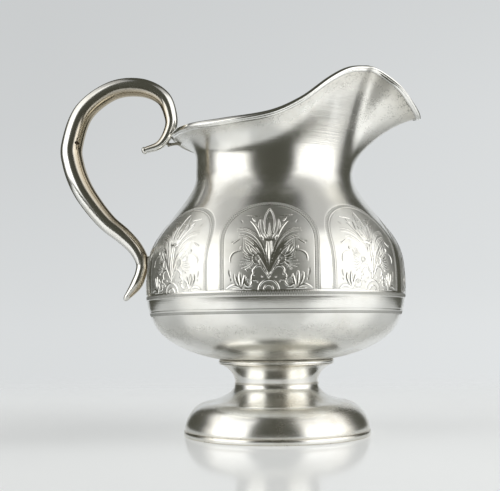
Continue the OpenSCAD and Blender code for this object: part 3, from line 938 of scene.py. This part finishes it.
# ---------------------------------------------------------------------------------------------
# Neck, spout and rim wire
# ---------------------------------------------------------------------------------------------
@dataclass
class Mouth:
    """The neck and spout, given by upright curves at stations round the axis.

    Columns of the stations: angle from the spout in degrees, reach, height above the throat, rise of
    the wall's last stretch in degrees, length of that stretch, and the share of the height over
    which the wall stays upright.
    """

    shape: BodyShape
    tip_reach: float = 85.0
    tip_rise: float = 33.5
    crest_rise: float = 54.0
    side_reach: float = 56.0
    side_rise: float = 23.8
    back_reach: float = 59.5
    back_rise: float = 24.0
    wire_d: float = 3.6
    # The wire's section: how full its square is, how deep it sits, and where its groove lies
    wire_fullness: float = 0.95
    wire_seat: float = 0.7
    groove_at: float = 0.12
    around: int = 360

    def stations(self) -> Array:
        """The stations from spout to back.

        Returns:
            The stations, one to a row.
        """
        tip, side, back = self.tip_reach, self.side_reach, self.back_reach
        low, high, flat = self.tip_rise, self.crest_rise, self.side_rise
        return np.array([
            [0, tip, low, 9, 16.5, 0.37],
            [9.5, tip - 4.5, low + 0.28 * (high - low), 27, 15, 0.32],
            [16, tip - 10, low + 0.64 * (high - low), 45, 14, 0.25],
            [24, tip - 19, high, 60, 14, 0.2],
            [34, side + 0.24 * (tip - side), high - 0.7, 67, 15, 0.2],
            [44, side + 0.14 * (tip - side), high - 3.4, 71, 16, 0.2],
            [55, side + 0.05 * (tip - side), flat + 0.67 * (high - flat), 68, 15, 0.22],
            [72, side - 0.3, flat + 0.26 * (high - flat), 57, 12, 0.3],
            [90, side, flat, 50, 11, 0.4],
            [115, side + 0.3 * (back - side), flat - 2.4, 40, 12, 0.45],
            [140, side + 0.6 * (back - side), flat - 1.6, 32, 14, 0.5],
            [160, back - 0.7, self.back_rise - 1, 27, 16, 0.58],
            [180, back, self.back_rise, 25, 17, 0.61]])

    def column(self, angles: Array, k: int) -> Array:
        """A column of the stations at any angles in degrees, by smooth cubics between neighbours.

        The slope at a station is that of the line between the stations on either side of it, and
        the stations are mirrored past the spout and past the back.

        Args:
            angles: Angles round the axis in degrees, 0 at the spout.
            k: Number of the column.

        Returns:
            The value at each angle.
        """
        s = self.stations()
        x = np.concatenate([[-s[1, 0]], s[:, 0], [360 - s[-2, 0]]])
        y = np.concatenate([[s[1, k]], s[:, k], [s[-2, k]]])
        slope = (y[2:] - y[:-2]) / (x[2:] - x[:-2])
        folded = np.abs((np.asarray(angles) + 180) % 360 - 180)
        i = np.clip(np.searchsorted(s[:, 0], folded, side="right") - 1, 0, len(s) - 2)
        gap = s[i + 1, 0] - s[i, 0]
        t = (folded - s[i, 0]) / gap
        return ((2 * t**3 - 3 * t**2 + 1) * s[i, k] + (t**3 - 2 * t**2 + t) * gap * slope[i]
                + (3 * t**2 - 2 * t**3) * s[i + 1, k] + (t**3 - t**2) * gap * slope[i + 1])

    def curves(self, angles: Array) -> Array:
        """Control points of the outer face's upright curve at each angle, shape (4, n, 2).

        Args:
            angles: Angles round the axis in degrees, 0 at the spout.

        Returns:
            The control points, shape (4, angles, 2).
        """
        reach, rise, lean, stretch, upright = (self.column(angles, k) for k in range(1, 6))
        base = np.full_like(reach, self.shape.throat_z)
        radius = np.full_like(reach, self.shape.throat_r)
        edge = np.stack([reach, base + rise], axis=-1)
        a = np.radians(lean)
        return np.stack([
            np.stack([radius, base], axis=-1), np.stack([radius, base + upright * rise], axis=-1),
            edge - stretch[:, None] * np.stack([np.cos(a), np.sin(a)], axis=-1), edge])

    def wall(self, angles: Array, rows: int) -> tuple[Array, Array]:
        """Outer and inner faces of the neck as radius and height, each (angles, rows, 2).

        Args:
            angles: Angles round the axis in degrees, 0 at the spout.
            rows: Number of points up the wall.

        Returns:
            The outer and the inner face.
        """
        c = self.curves(angles)
        t = np.linspace(0, 1, rows)
        outer = np.stack([cubic(c, np.full(len(angles), p)) for p in t], axis=1)
        way = np.stack([cubic_way(c, np.full(len(angles), p)) for p in t], axis=1)
        way /= np.linalg.norm(way, axis=-1, keepdims=True)
        inner = outer + self.shape.sheet * np.stack([-way[..., 1], way[..., 0]], axis=-1)
        return outer, inner

    @staticmethod
    def turned(points: Array, angles: Array) -> Array:
        """Radius and height turned into place: (r cos a, r sin a, z)."""
        a = np.radians(angles)[:, None]
        return np.stack([points[..., 0] * np.cos(a), points[..., 0] * np.sin(a), points[..., 1]], axis=-1)

    def build(self, plain: bpy.types.Material, wire: bpy.types.Material) -> None:
        """Builds the neck with its spout, and the wire round the mouth.

        Args:
            plain: Finish of the plain silver.
            wire: Finish of the drawn wire.
        """
        angles = np.degrees(full_turn(self.around))
        rows = 64
        outer, inner = self.wall(angles, rows)
        loop = np.concatenate([outer, inner[:, ::-2]], axis=1)
        points = self.turned(loop, angles)
        quads = grid_faces(self.around, loop.shape[1], True, True)[:, ::-1]
        obj = make_mesh("neck_and_spout_shell", points, quads)
        # Wear and tarnish gather under the wire and under the spout
        t = np.linspace(0, 1, rows)
        near_rim = ease((t - 0.72) / 0.28)[None, :] * np.ones((self.around, 1))
        spout = ease(1 - np.abs((angles + 180) % 360 - 180) / 60)[:, None]
        age = np.zeros(loop.shape[:2])
        age[:, :rows] = np.clip(near_rim * 0.55 + spout * 0.5 * ease((t - 0.3) / 0.4)[None, :], 0, 1)
        paint(obj, "age", age)
        finish_piece(obj, ("neck_and_spout",), plain)
        self.build_wire(angles, wire)

    def build_wire(self, angles: Array, wire: bpy.types.Material) -> None:
        """The moulded wire on the edge of the mouth, with a fine groove along its outer side and a painted
        shadow line along its lower outer edge.

        Its section is a squared circle, of radius (cos^4 b + sin^4 b)^(-1/4), cut off flat where it
        sits on the edge of the sheet.

        Args:
            angles: Angles round the axis in degrees, 0 at the spout.
            wire: Finish of the drawn wire.
        """
        c = self.curves(angles)
        one = np.ones(len(angles))
        way = cubic_way(c, one)
        way /= np.linalg.norm(way, axis=-1, keepdims=True)
        inward = np.stack([-way[:, 1], way[:, 0]], axis=-1)
        r = self.wire_fullness * self.wire_d / 2
        sink = self.wire_seat * r
        low = -math.asin(self.wire_seat)
        b = np.linspace(low, math.pi - low, 57)
        fine = np.exp(-(((b - self.groove_at) / 0.07) ** 2))
        groove = (np.cos(b) ** 4 + np.sin(b) ** 4) ** -0.25 * (1 - 0.07 * fine)
        middle = c[3] + inward * self.shape.sheet / 2 + way * sink
        section = (middle[:, None] - inward[:, None] * (r * groove * np.cos(b))[None, :, None]
                   + way[:, None] * (r * groove * np.sin(b))[None, :, None])
        ends = np.stack([c[3] + inward * self.shape.sheet, c[3]], axis=1)
        loop = np.concatenate([ends, section], axis=1)
        obj = make_mesh("rim_wire_moulding", self.turned(loop, angles),
                        grid_faces(len(angles), loop.shape[1], True, True)[:, ::-1])
        # Sulphide in the fine groove, and a painted shadow line along the wire's lower outer edge, where it
        # sits on the sheet
        cut = np.zeros(loop.shape[:2])
        cut[:, 2:] = 0.45 * fine + ease((low + 0.5 - b) / 0.45)
        paint(obj, "cut", cut)
        finish_piece(obj, ("rim_wire",), wire)


# ---------------------------------------------------------------------------------------------
# Handle
# ---------------------------------------------------------------------------------------------
@dataclass
class Handle:
    """The hollow handle: a smooth line from its curl at the rim to its tip on the belly."""

    shape: BodyShape
    mouth: Mouth
    depth: float = 1.15
    sheet: float = 1.2
    vent_r: float = 1.1
    # Places along the handle, which count the bones: the vent hole, the pad and the strut
    vent_at: int = 8
    pad_at: float = 15.0
    strut_at: float = 1.35
    pad_r: float = 4.4
    strut_d: float = 2.2
    solder: float = 0.4
    # Offset sideways and up, share of the way from rim to body, and width
    spine: tuple[tuple[float, float, float, float], ...] = (
        (-18.2, -5.4, 0, 4), (-9.3, -2.3, 0, 5.5), (-3.8, 5.4, 0, 7), (-2.4, 14.2, 0, 8),
        (-7.4, 26.7, 0, 9.5), (-21, 33.5, 0, 11.1), (-39, 32, 0, 11.5), (-56.3, 19.1, 0, 12.4),
        (-62, 6.4, 0.1, 13), (-58.8, 5, 0.25, 13), (-51.5, 2.4, 0.4, 12.7), (-41.7, 1.7, 0.55, 12),
        (-30.4, 2.1, 0.7, 11), (-19.3, 1.5, 0.8, 10.1), (-10.4, 1.1, 0.9, 8.8), (-4.9, 0.3, 1, 7.9),
        (-5.8, -6.3, 1, 7), (-8.5, -12.9, 1, 7), (-13.3, -19.4, 1, 4.2))

    def bones(self) -> Array:
        """Stations of the handle as X, Z and width.

        Returns:
            The bones, one to a row.
        """
        rim = np.array([-self.mouth.back_reach, self.shape.throat_z + self.mouth.back_rise])
        hold = cubic(self.shape.brow, np.array([0.3]))[0]
        body = np.array([-hold[0], hold[1]])
        s = np.array(self.spine)
        return np.concatenate([rim + s[:, 2:3] * (body - rim) + s[:, :2], s[:, 3:4]], axis=1)

    def line(self, where: Array) -> Array:
        """X, Z and width at places along the handle, which count the bones.

        Between bones q and r it is the cubic through both whose slope at each is half the step
        between that bone's neighbours.

        Args:
            where: Places along the handle, which count the bones.

        Returns:
            One row of X, Z and width for each place.
        """
        b = self.bones()
        b = np.concatenate([[2 * b[0] - b[1]], b, [2 * b[-1] - b[-2]]])
        i = np.clip(np.floor(where).astype(int), 0, len(b) - 4)
        t = (where - i)[:, None]
        p, q, r, w = b[i], b[i + 1], b[i + 2], b[i + 3]
        return 0.5 * (2 * q + (r - p) * t + (2 * p - 5 * q + 4 * r - w) * t**2
                      + (3 * q - p - 3 * r + w) * t**3)

    def build(self, silver: bpy.types.Material, wire: bpy.types.Material, solder: bpy.types.Material) -> None:
        """Builds both halves, the button, the tip, the solder pad and the strut.

        Args:
            silver: Finish of the stamped or spun silver.
            wire: Finish of the drawn wire.
            solder: Finish of the hard solder.
        """
        tail = len(self.spine) - 1
        where = np.linspace(0, tail, tail * 12 + 1)
        for side, name, node in ((-1, "handle_half_left", "handle_left_half"),
                                 (1, "handle_half_right", "handle_right_half")):
            self.build_half(where, side, name, node, silver)
        self.build_button(wire)
        self.build_tip(silver)
        self.build_pad(solder)
        self.build_strut(solder)

    def section_frame(self, where: Array) -> tuple[Array, Array, Array]:
        """Middle, normal and width at places along the handle, all in the XZ plane.

        Args:
            where: Places along the handle, which count the bones.

        Returns:
            The middles, the unit normals and the widths.
        """
        g = self.line(where)
        w = np.gradient(g[:, :2], axis=0)
        w /= np.linalg.norm(w, axis=1, keepdims=True)
        return g[:, :2], np.stack([-w[:, 1], w[:, 0]], axis=1), g[:, 2]

    def build_half(self, where: Array, side: int, name: str, node: str, silver: bpy.types.Material) -> None:
        """One stamped half: half an ellipse outside, the same less the sheet inside.

        Args:
            where: Places along the handle, which count the bones.
            side: Which half: -1 left, 1 right.
            name: The piece's name.
            node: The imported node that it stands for.
            silver: Finish of the piece.
        """
        a = np.linspace(0, np.pi, 33)
        if side < 0:
            # Finer rows and columns round the vent hole, which lies a third of the width off the middle
            where = np.union1d(where, self.vent_at + np.linspace(-0.1, 0.1, 41))
            a = np.union1d(a, math.acos(2 / 3) + np.linspace(-0.25, 0.25, 41))
        middle, normal, width = self.section_frame(where)
        back = a[::-2]
        outer, inner = width / 2, np.maximum(width / 2 - self.sheet, 0.5)

        def arc(size: Array, turn: Array) -> Array:
            """Half an ellipse round each middle point: across (size cos, depth size sin).

            Args:
                size: Half width at each middle point.
                turn: Angles round the section, in radians.

            Returns:
                The points, shape (places, angles, 3).
            """
            # The edges roll in a little where the halves are soldered together
            roll = 1 - 0.012 * np.exp(-((np.sin(turn) / 0.07) ** 2))
            across = size[:, None] * np.cos(turn) * roll
            out = side * size[:, None] * self.depth * np.sin(turn)
            return np.stack([middle[:, None, 0] + normal[:, None, 0] * across, out,
                             middle[:, None, 1] + normal[:, None, 1] * across], axis=-1)

        loop = np.concatenate([arc(outer, a), arc(inner, back)], axis=1)
        sunk = np.zeros((len(where), len(a)))
        if side < 0:
            here = np.abs(where - self.vent_at).argmin()
            away = np.hypot(loop[:, : len(a), 0] - middle[here, 0] - width[here] / 3,
                            loop[:, : len(a), 2] - middle[here, 1])
            sunk = ease((self.vent_r - away) / 0.3)
            loop[:, : len(a), 1] += 0.9 * self.sheet * sunk
        n, count = loop.shape[1], len(where)
        quads = grid_faces(count, n, False, True)
        first, last = np.arange(n), (count - 1) * n + np.arange(n)
        caps = (first[::-1], last) if side > 0 else (first, last[::-1])
        quads = quads if side > 0 else quads[:, ::-1]
        obj = make_mesh(name, loop, quads, caps)
        # Warm tint on the side towards the body: tarnish, which the hand and the cloth miss, and a painted
        # warm reflection
        tarnish_and_reflection_side = np.zeros(loop.shape[:2])
        tarnish_and_reflection_side[:, : len(a)] = ease(np.cos(a) + 0.15)
        paint(obj, "age", tarnish_and_reflection_side)
        # Dark at the seam where the halves are soldered, and painted shade in the vent hole, which is a
        # shallow dimple
        seam = np.zeros(loop.shape[:2])
        seam[:, : len(a)] = np.maximum(np.exp(-((np.sin(a) / 0.05) ** 2)) * 0.35, 3 * sunk)
        paint(obj, "cut", seam)
        finish_piece(obj, (node,), silver)

    def build_button(self, wire: bpy.types.Material) -> None:
        """The button that closes the curl: a low dome on the end of the tube.

        Args:
            wire: Finish of the drawn wire.
        """
        middle, normal, width = self.section_frame(np.array([0.0, 0.05]))
        way = middle[1] - middle[0]
        way /= np.linalg.norm(way)
        r = 0.6 * width[0]
        a = np.linspace(0, np.pi / 2, 14)
        loop = np.concatenate([[[0.02, 0.0], [r * 0.96, 0.0]],
                               np.stack([r * np.cos(a), r * (0.3 + 0.7 * np.sin(a))], axis=1)[:-1],
                               [[0.02, r]]])
        turned = revolve(loop, full_turn(48))
        x, y, z = turned[..., 0], turned[..., 1], turned[..., 2]
        points = np.stack([middle[0, 0] - way[0] * z + normal[0, 0] * x, y,
                           middle[0, 1] - way[1] * z + normal[0, 1] * x], axis=-1)
        n = len(loop)
        first, last = np.arange(48) * n, np.arange(48) * n + n - 1
        obj = make_mesh("curl_button", points, grid_faces(48, n, True, False), (first[::-1], last))
        finish_piece(obj, ("handle_curl_button",), wire)

    def build_tip(self, silver: bpy.types.Material) -> None:
        """The cast tip below the body: it narrows to a rounded point.

        Args:
            silver: Finish of the piece.
        """
        tail = len(self.spine) - 1.0
        middle, normal, width = self.section_frame(np.array([tail - 0.05, tail]))
        way = middle[1] - middle[0]
        way /= np.linalg.norm(way)
        t = np.linspace(0, 1, 16)
        size = width[1] / 2 * np.sqrt(1 - 0.985 * t**2)
        a = full_turn(48)
        centre = middle[1] + way * 4.0 * t[:, None]
        across = size[:, None] * np.cos(a)
        points = np.stack([centre[:, None, 0] + normal[1, 0] * across,
                           size[:, None] * self.depth * np.sin(a),
                           centre[:, None, 1] + normal[1, 1] * across], axis=-1)
        first, last = np.arange(48), 15 * 48 + np.arange(48)
        obj = make_mesh("tail_tip", points, grid_faces(16, 48, False, True), (first[::-1], last))
        finish_piece(obj, ("handle_tail_tip",), silver)

    def build_pad(self, solder: bpy.types.Material) -> None:
        """The pad between handle and body: an oval boss whose inner end follows the body.

        Args:
            solder: Finish of the hard solder.
        """
        middle, _, width = self.section_frame(self.pad_at + np.array([0.0, 0.05]))
        outer_x = middle[0, 0] + width[0] / 2 - self.solder
        a = full_turn(64)
        t = np.linspace(0, 1, 9)[:, None]
        spread = self.pad_r * (0.82 + 0.18 * t**2)
        y, z = spread * np.cos(a), middle[0, 1] + spread * np.sin(a)
        radius = np.interp(z, self.shape.outline[:, 1], self.shape.outline[:, 0])
        surface = -np.sqrt(radius**2 - y**2) + 0.2
        x = outer_x + (surface - outer_x) * t
        points = np.stack([x, y, z], axis=-1)
        first, last = np.arange(64), 8 * 64 + np.arange(64)
        obj = make_mesh("solder_pad", points, grid_faces(9, 64, False, True)[:, ::-1], (first, last[::-1]))
        finish_piece(obj, ("handle_solder_pad",), solder)

    def build_strut(self, solder: bpy.types.Material) -> None:
        """The small strut from the curl to the underside of the mouth, waisted in its middle.

        Args:
            solder: Finish of the hard solder.
        """
        middle, normal, width = self.section_frame(self.strut_at + np.array([0.0, 0.05]))
        edge = cubic(self.mouth.curves(np.array([180.0])), np.array([0.95]))[0]
        r = self.strut_d / 2
        start = middle[0] - normal[0] * (width[0] / 2 + r - self.solder)
        end = np.array([-edge[0], edge[1]]) + (r - self.solder) * np.array([0.5, -0.85])
        way = (end - start) / np.linalg.norm(end - start)
        side = np.array([-way[1], way[0]])
        t = np.linspace(0, 1, 25)
        size = r * (0.75 + 0.6 * (2 * t - 1) ** 2) * np.sqrt(np.clip(1 - (2 * t - 1) ** 16, 0.02, 1))
        centre = start + (end - start) * (t * 1.3 - 0.15)[:, None]
        a = full_turn(24)
        across = size[:, None] * np.cos(a)
        points = np.stack([centre[:, None, 0] + side[0] * across, size[:, None] * np.sin(a),
                           centre[:, None, 1] + side[1] * across], axis=-1)
        first, last = np.arange(24), 24 * 24 + np.arange(24)
        obj = make_mesh("strut_under_rim", points, grid_faces(25, 24, False, True), (first[::-1], last))
        finish_piece(obj, ("rim_strut",), solder)


# ---------------------------------------------------------------------------------------------
# Foot
# ---------------------------------------------------------------------------------------------
@dataclass
class Foot:
    """The foot: resting wire, dome, flared stem and collar."""

    base_r: float = 54.3
    base_h: float = 3.2
    base_lip: float = 0.8
    waist_r: float = 24.2
    dome_h: float = 26.6
    waist_step: float = 0.4
    stem_h: float = 10.7
    collar_r: float = 33.9
    collar_h: float = 3.0
    sheet: float = 1.5
    around: int = 288

    def build(self, silver: bpy.types.Material) -> None:
        """Builds and dresses the four rings.

        Args:
            silver: Finish of the stamped or spun silver.
        """
        waist_z = self.base_h + self.dome_h
        stem_top = waist_z + self.stem_h
        dome_r = self.base_r - self.base_lip
        self.ring("resting_wire", "base_wire", self.wire_loop(dome_r), silver)
        self.ring("domed_foot", "foot_dome", self.dome_loop(dome_r, waist_z), silver)
        self.ring("flared_stem", "foot_stem", self.stem_loop(waist_z, stem_top), silver)
        self.ring("collar_ring", "foot_collar", self.collar_loop(stem_top), silver)

    def ring(self, name: str, node: str, loop: Array, silver: bpy.types.Material) -> None:
        """One ring from its closed loop of radius and height, which runs up its outside.

        Args:
            name: The piece's name.
            node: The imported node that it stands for.
            loop: Closed loop of radius and height.
            silver: Finish of the piece.
        """
        obj = round_piece(name, loop, self.around)
        low, high = loop[:, 1].min(), loop[:, 1].max()
        corner = np.minimum(loop[:, 1] - low, high - loop[:, 1])
        paint(obj, "age", np.tile(0.55 * ease(1 - corner / 1.2), self.around))
        finish_piece(obj, (node,), silver)

    def wire_loop(self, dome_r: float) -> Array:
        """The resting wire: flat below and above, rounded outside.

        Args:
            dome_r: Radius of the dome's upright edge.

        Returns:
            The loop of radius and height.
        """
        r, lip = self.base_h / 2, self.base_lip
        a = np.radians(np.linspace(-80, 80, 17))
        bulge = np.stack([dome_r + lip * np.cos(a), r + r * np.sin(a)], axis=1)
        inner = dome_r - 2 * self.sheet
        top = [[dome_r, self.base_h], [inner, self.base_h]]
        return np.concatenate([[[inner, 0.0], [dome_r, 0.0]], bulge, top])

    def dome_loop(self, dome_r: float, waist_z: float) -> Array:
        """The dome: hollow near the waist, swelling to an upright edge at the wire.

        Args:
            dome_r: Radius of the dome's upright edge.
            waist_z: Height of the waist.

        Returns:
            The loop of radius and height.
        """
        turn = np.array([self.waist_r + 0.57 * (dome_r - self.waist_r),
                         self.base_h + 0.6 * (waist_z - self.base_h)])
        neck = [[self.waist_r + self.waist_step, waist_z],
                [self.waist_r, turn[1] + 0.5 * (waist_z - turn[1])], turn + [-8.4, 1.2], turn]
        swell = [turn, turn + [7.7, -1.1],
                 [dome_r + 0.25, self.base_h + 0.4 * (turn[1] - self.base_h)], [dome_r, self.base_h]]
        outer = resample(chain(neck, swell), 110)[::-1]
        inner = inner_wall(outer, self.sheet, 50)
        inner[:, 1] = np.clip(inner[:, 1], self.base_h, waist_z)
        return np.concatenate([outer, inner])

    def stem_loop(self, waist_z: float, stem_top: float) -> Array:
        """The stem: upright at the waist, flaring to the collar.

        Args:
            waist_z: Height of the waist.
            stem_top: Height of the stem's upper end.

        Returns:
            The loop of radius and height.
        """
        top_r = self.collar_r - 1.7
        curve = [[self.waist_r, waist_z], [self.waist_r, waist_z + 0.43 * self.stem_h],
                 [self.waist_r + 0.375 * (top_r - self.waist_r), waist_z + 0.78 * self.stem_h],
                 [top_r, stem_top]]
        outer = resample(chain(curve), 44)
        inner = inner_wall(outer, self.sheet, 24)
        inner[:, 1] = np.minimum(inner[:, 1], stem_top)
        return np.concatenate([outer, inner])

    def collar_loop(self, stem_top: float) -> Array:
        """The collar: a flat ring with a rounded edge and a fine step below it.

        Args:
            stem_top: Height of the stem's upper end.

        Returns:
            The loop of radius and height.
        """
        lip, top = self.collar_h / 2, stem_top + self.collar_h
        inner = self.collar_r - 6.7
        a = np.radians(np.linspace(-80, 80, 21))
        bulge = np.stack([self.collar_r - lip + lip * np.cos(a), stem_top + lip + lip * np.sin(a)], axis=1)
        bulge[:, 0] -= 0.35 * np.exp(-(((bulge[:, 1] - stem_top - 0.9) / 0.25) ** 2))
        return np.concatenate([[[inner, stem_top], [self.collar_r - lip, stem_top]], bulge,
                               [[self.collar_r - lip, top], [inner, top]]])


# ---------------------------------------------------------------------------------------------
# Studio
# ---------------------------------------------------------------------------------------------
@dataclass
class Studio:
    """An acrylic table and a pale backdrop with painted light, between two large curved softboxes."""

    # The camera: heights and distances in mm, turns in degrees
    eye_height: float = 61.0
    distance: float = 518.0
    azimuth: float = 2.4
    focal: float = 63.0
    pitch: float = 5.45
    yaw: float = 1.63
    roll: float = 0.6
    # Near edge of each softbox, and its far edge low down and high up, in degrees round from the
    # camera's side
    left_box: tuple[float, float, float] = (-27.0, -104.0, -138.0)
    right_box: tuple[float, float, float] = (28.0, 116.0, 138.0)
    # Lowest and highest edge of the softboxes, in degrees above the height of their middle
    box_edges: tuple[float, float] = (-5.0, 76.0)
    box_middle: float = 60.0
    box_away: float = 1500.0
    box_glow: float = 1.75
    backdrop_away: float = 1000.0
    # Painted light: glow of the table at distances behind the axis, and of the backdrop at heights, left and
    # right
    table_places: tuple[float, ...] = (-167, -84, -26, 240)
    table_left: tuple[float, ...] = (0.34, 0.33, 0.25, 0.38)
    table_right: tuple[float, ...] = (0.4, 0.39, 0.4, 0.38)
    backdrop_heights: tuple[float, ...] = (-500, 61, 146, 428, 629)
    backdrop_left: tuple[float, ...] = (0.735, 0.723, 0.701, 0.638, 0.617)
    backdrop_right: tuple[float, ...] = (0.79, 0.783, 0.753, 0.723, 0.68)

    def build(self) -> None:
        """Builds the table, the backdrop, the softboxes, the dim room and the camera."""
        self.table()
        self.backdrop()
        self.softbox("left", self.left_box)
        self.softbox("right", self.right_box)
        world = bpy.data.worlds.new("dim_room")
        bpy.context.scene.world = world
        world.use_nodes = True
        world.node_tree.nodes["Background"].inputs["Color"].default_value = linear("4A4A41")
        self.camera()

    @staticmethod
    def sheet(name: str, points: Array, material: bpy.types.Material, glow: Array,
              solid: Array | None = None) -> bpy.types.Object:
        """A stage sheet over a grid of points, with its glow and how solid it is painted on.

        Args:
            name: The piece's name.
            points: Grid of points, shape (rows, columns, 3).
            material: Its material.
            glow: Glow at each point.
            solid: How solid each point is, from 0 to 1, or None for all solid.

        Returns:
            The stage sheet.
        """
        obj = make_mesh(name, points, grid_faces(points.shape[0], points.shape[1], False, False))
        paint(obj, "glow", glow)
        paint(obj, "solid", np.ones(glow.shape) if solid is None else solid)
        obj.data.materials.append(material)
        return obj

    @staticmethod
    def glowing(name: str, colour: str) -> tuple[bpy.types.Material, bpy.types.Node]:
        """A material that gives off light as strongly as the painted glow, and its emission node.

        Args:
            name: The material's name.
            colour: Colour of the light, as sRGB hex.

        Returns:
            The material and its emission node.
        """
        mat = bpy.data.materials.new(name)
        mat.use_nodes = True
        tree = mat.node_tree
        tree.nodes.clear()
        glow = add_node(tree, "ShaderNodeAttribute", attribute_name="glow").outputs["Fac"]
        light = add_node(tree, "ShaderNodeEmission", {"Color": linear(colour)}, {"Strength": glow})
        return mat, light

    def table(self) -> None:
        """The table: glossy translucent acrylic with a painted glow, brighter to the right, that stands in
        for the light falling on it, and that fades out far behind.
        """
        x, y = np.meshgrid(np.linspace(-900, 900, 61), np.linspace(-300, 800, 83), indexing="ij")
        points = np.stack([x, y, np.zeros_like(x)], axis=-1)
        left = np.interp(y, self.table_places, self.table_left)
        right = np.interp(y, self.table_places, self.table_right)
        glow = left + np.clip(x / 260 + 0.5, 0, 1) * (right - left)
        solid = 1 - ease((y - 60) / 620)
        # Pale acrylic: an even soft white with painted light on it, and a faint clear image of what stands on
        # it
        mat, light = self.glowing("acrylic_table_painted_light", "FAFCFD")
        tree = mat.node_tree
        face = add_node(tree, "ShaderNodeBsdfDiffuse", {"Color": linear("E4E6E7")})
        both = add_node(tree, "ShaderNodeAddShader", links={0: light.outputs[0], 1: face.outputs[0]})
        gloss = add_node(tree, "ShaderNodeBsdfGlossy", {"Color": linear("FFFFFF"), "Roughness": 0.09})
        coat = add_node(tree, "ShaderNodeMixShader", {0: 0.27}, {1: both.outputs[0], 2: gloss.outputs[0]})
        clear = add_node(tree, "ShaderNodeBsdfTransparent")
        fade = add_node(tree, "ShaderNodeAttribute", attribute_name="solid").outputs["Fac"]
        out = add_node(tree, "ShaderNodeMixShader", links={0: fade, 1: clear.outputs[0], 2: coat.outputs[0]})
        add_node(tree, "ShaderNodeOutputMaterial", links={"Surface": out.outputs[0]})
        self.sheet("table_top", points, mat, glow, solid)

    def backdrop(self) -> None:
        """The backdrop: painted light, darker at the top and to the left."""
        x, z = np.meshgrid(np.linspace(-620, 580, 41), np.linspace(-500, 760, 43), indexing="ij")
        left = np.interp(z, self.backdrop_heights, self.backdrop_left)
        right = np.interp(z, self.backdrop_heights, self.backdrop_right)
        share = np.clip((x + 460) / 880, 0, 1)
        # Pale paper: a cool grey, with painted light that shades off upwards
        mat, light = self.glowing("pale_backdrop", "FBFEFF")
        add_node(mat.node_tree, "ShaderNodeOutputMaterial", links={"Surface": light.outputs[0]})
        self.sheet("backdrop_sheet", np.stack([x, np.full_like(x, self.backdrop_away), z], axis=-1), mat,
                   left + share * (right - left))

    def softbox(self, name: str, box: tuple[float, float, float]) -> None:
        """A softbox bent round the object, brightest in its middle: a patch of a sphere.

        Args:
            name: Which side it stands on.
            box: Near edge, and far edge low down and high up, in degrees.
        """
        low, top = self.box_edges
        share, up = np.meshgrid(np.linspace(0, 1, 33), np.linspace(low, top, 41), indexing="ij")
        far = box[1] + (box[2] - box[1]) * ease((up - 18) / 30)
        turn = box[0] + share * (far - box[0])
        sides = ease(np.abs(turn - box[0]) / 14) * ease(np.abs(far - turn) / 30)
        high = (1 - 0.3 * ease((up - 20) / 20)) * (1 - 0.62 * ease((up - 46) / 16))
        ends = ease((up - low) / 4) * high * ease((top - up) / 8)
        a, e = np.radians(turn), np.radians(up)
        points = self.box_away * np.stack([np.cos(e) * np.sin(a), -np.cos(e) * np.cos(a), np.sin(e)], axis=-1)
        # White cloth: a broad highlight with soft edges
        mat, light = self.glowing(f"softbox_{name}_cloth", "FFFEFA")
        add_node(mat.node_tree, "ShaderNodeOutputMaterial", links={"Surface": light.outputs[0]})
        glow = self.box_glow * (0.05 + 0.95 * sides * ends)
        self.sheet(f"softbox_{name}", points + (0, 0, self.box_middle), mat, glow)

    def camera(self) -> None:
        """The camera: low over the table, looking slightly up, the body a little right of the middle."""
        data = bpy.data.cameras.new("camera")
        data.lens, data.sensor_width = self.focal, 36.0
        data.clip_start = 0.01
        cam = bpy.data.objects.new("camera", data)
        a = math.radians(self.azimuth)
        spot = Vector((math.sin(a), -math.cos(a), 0)) * self.distance * MM
        spot.z = self.eye_height * MM
        turn = (Matrix.Rotation(a, 4, "Z") @ Matrix.Rotation(math.radians(self.yaw), 4, "Z")
                @ Matrix.Rotation(math.radians(90 + self.pitch), 4, "X")
                @ Matrix.Rotation(math.radians(-self.roll), 4, "Z"))
        cam.matrix_world = Matrix.Translation(spot) @ turn
        bpy.context.scene.collection.objects.link(cam)
        bpy.context.scene.camera = cam
        bpy.context.scene.view_settings.view_transform = "Standard"


def main() -> None:
    """Builds the pitcher piece by piece, then the studio."""
    logging.basicConfig(level=logging.INFO, format="%(name)s: %(message)s")
    shape = BodyShape()
    plain, engraved, foot, wire = BODY.build(), ENGRAVED.build(), FOOT.build(), WIRE.build()
    handle, solder = HANDLE.build(), SOLDER.build()
    Foot().build(foot)
    Body(shape).build(plain, engraved)
    mouth = Mouth(shape)
    mouth.build(plain, wire)
    Handle(shape, mouth).build(handle, wire, solder)
    Studio().build()


if __name__ == "__main__":
    main()
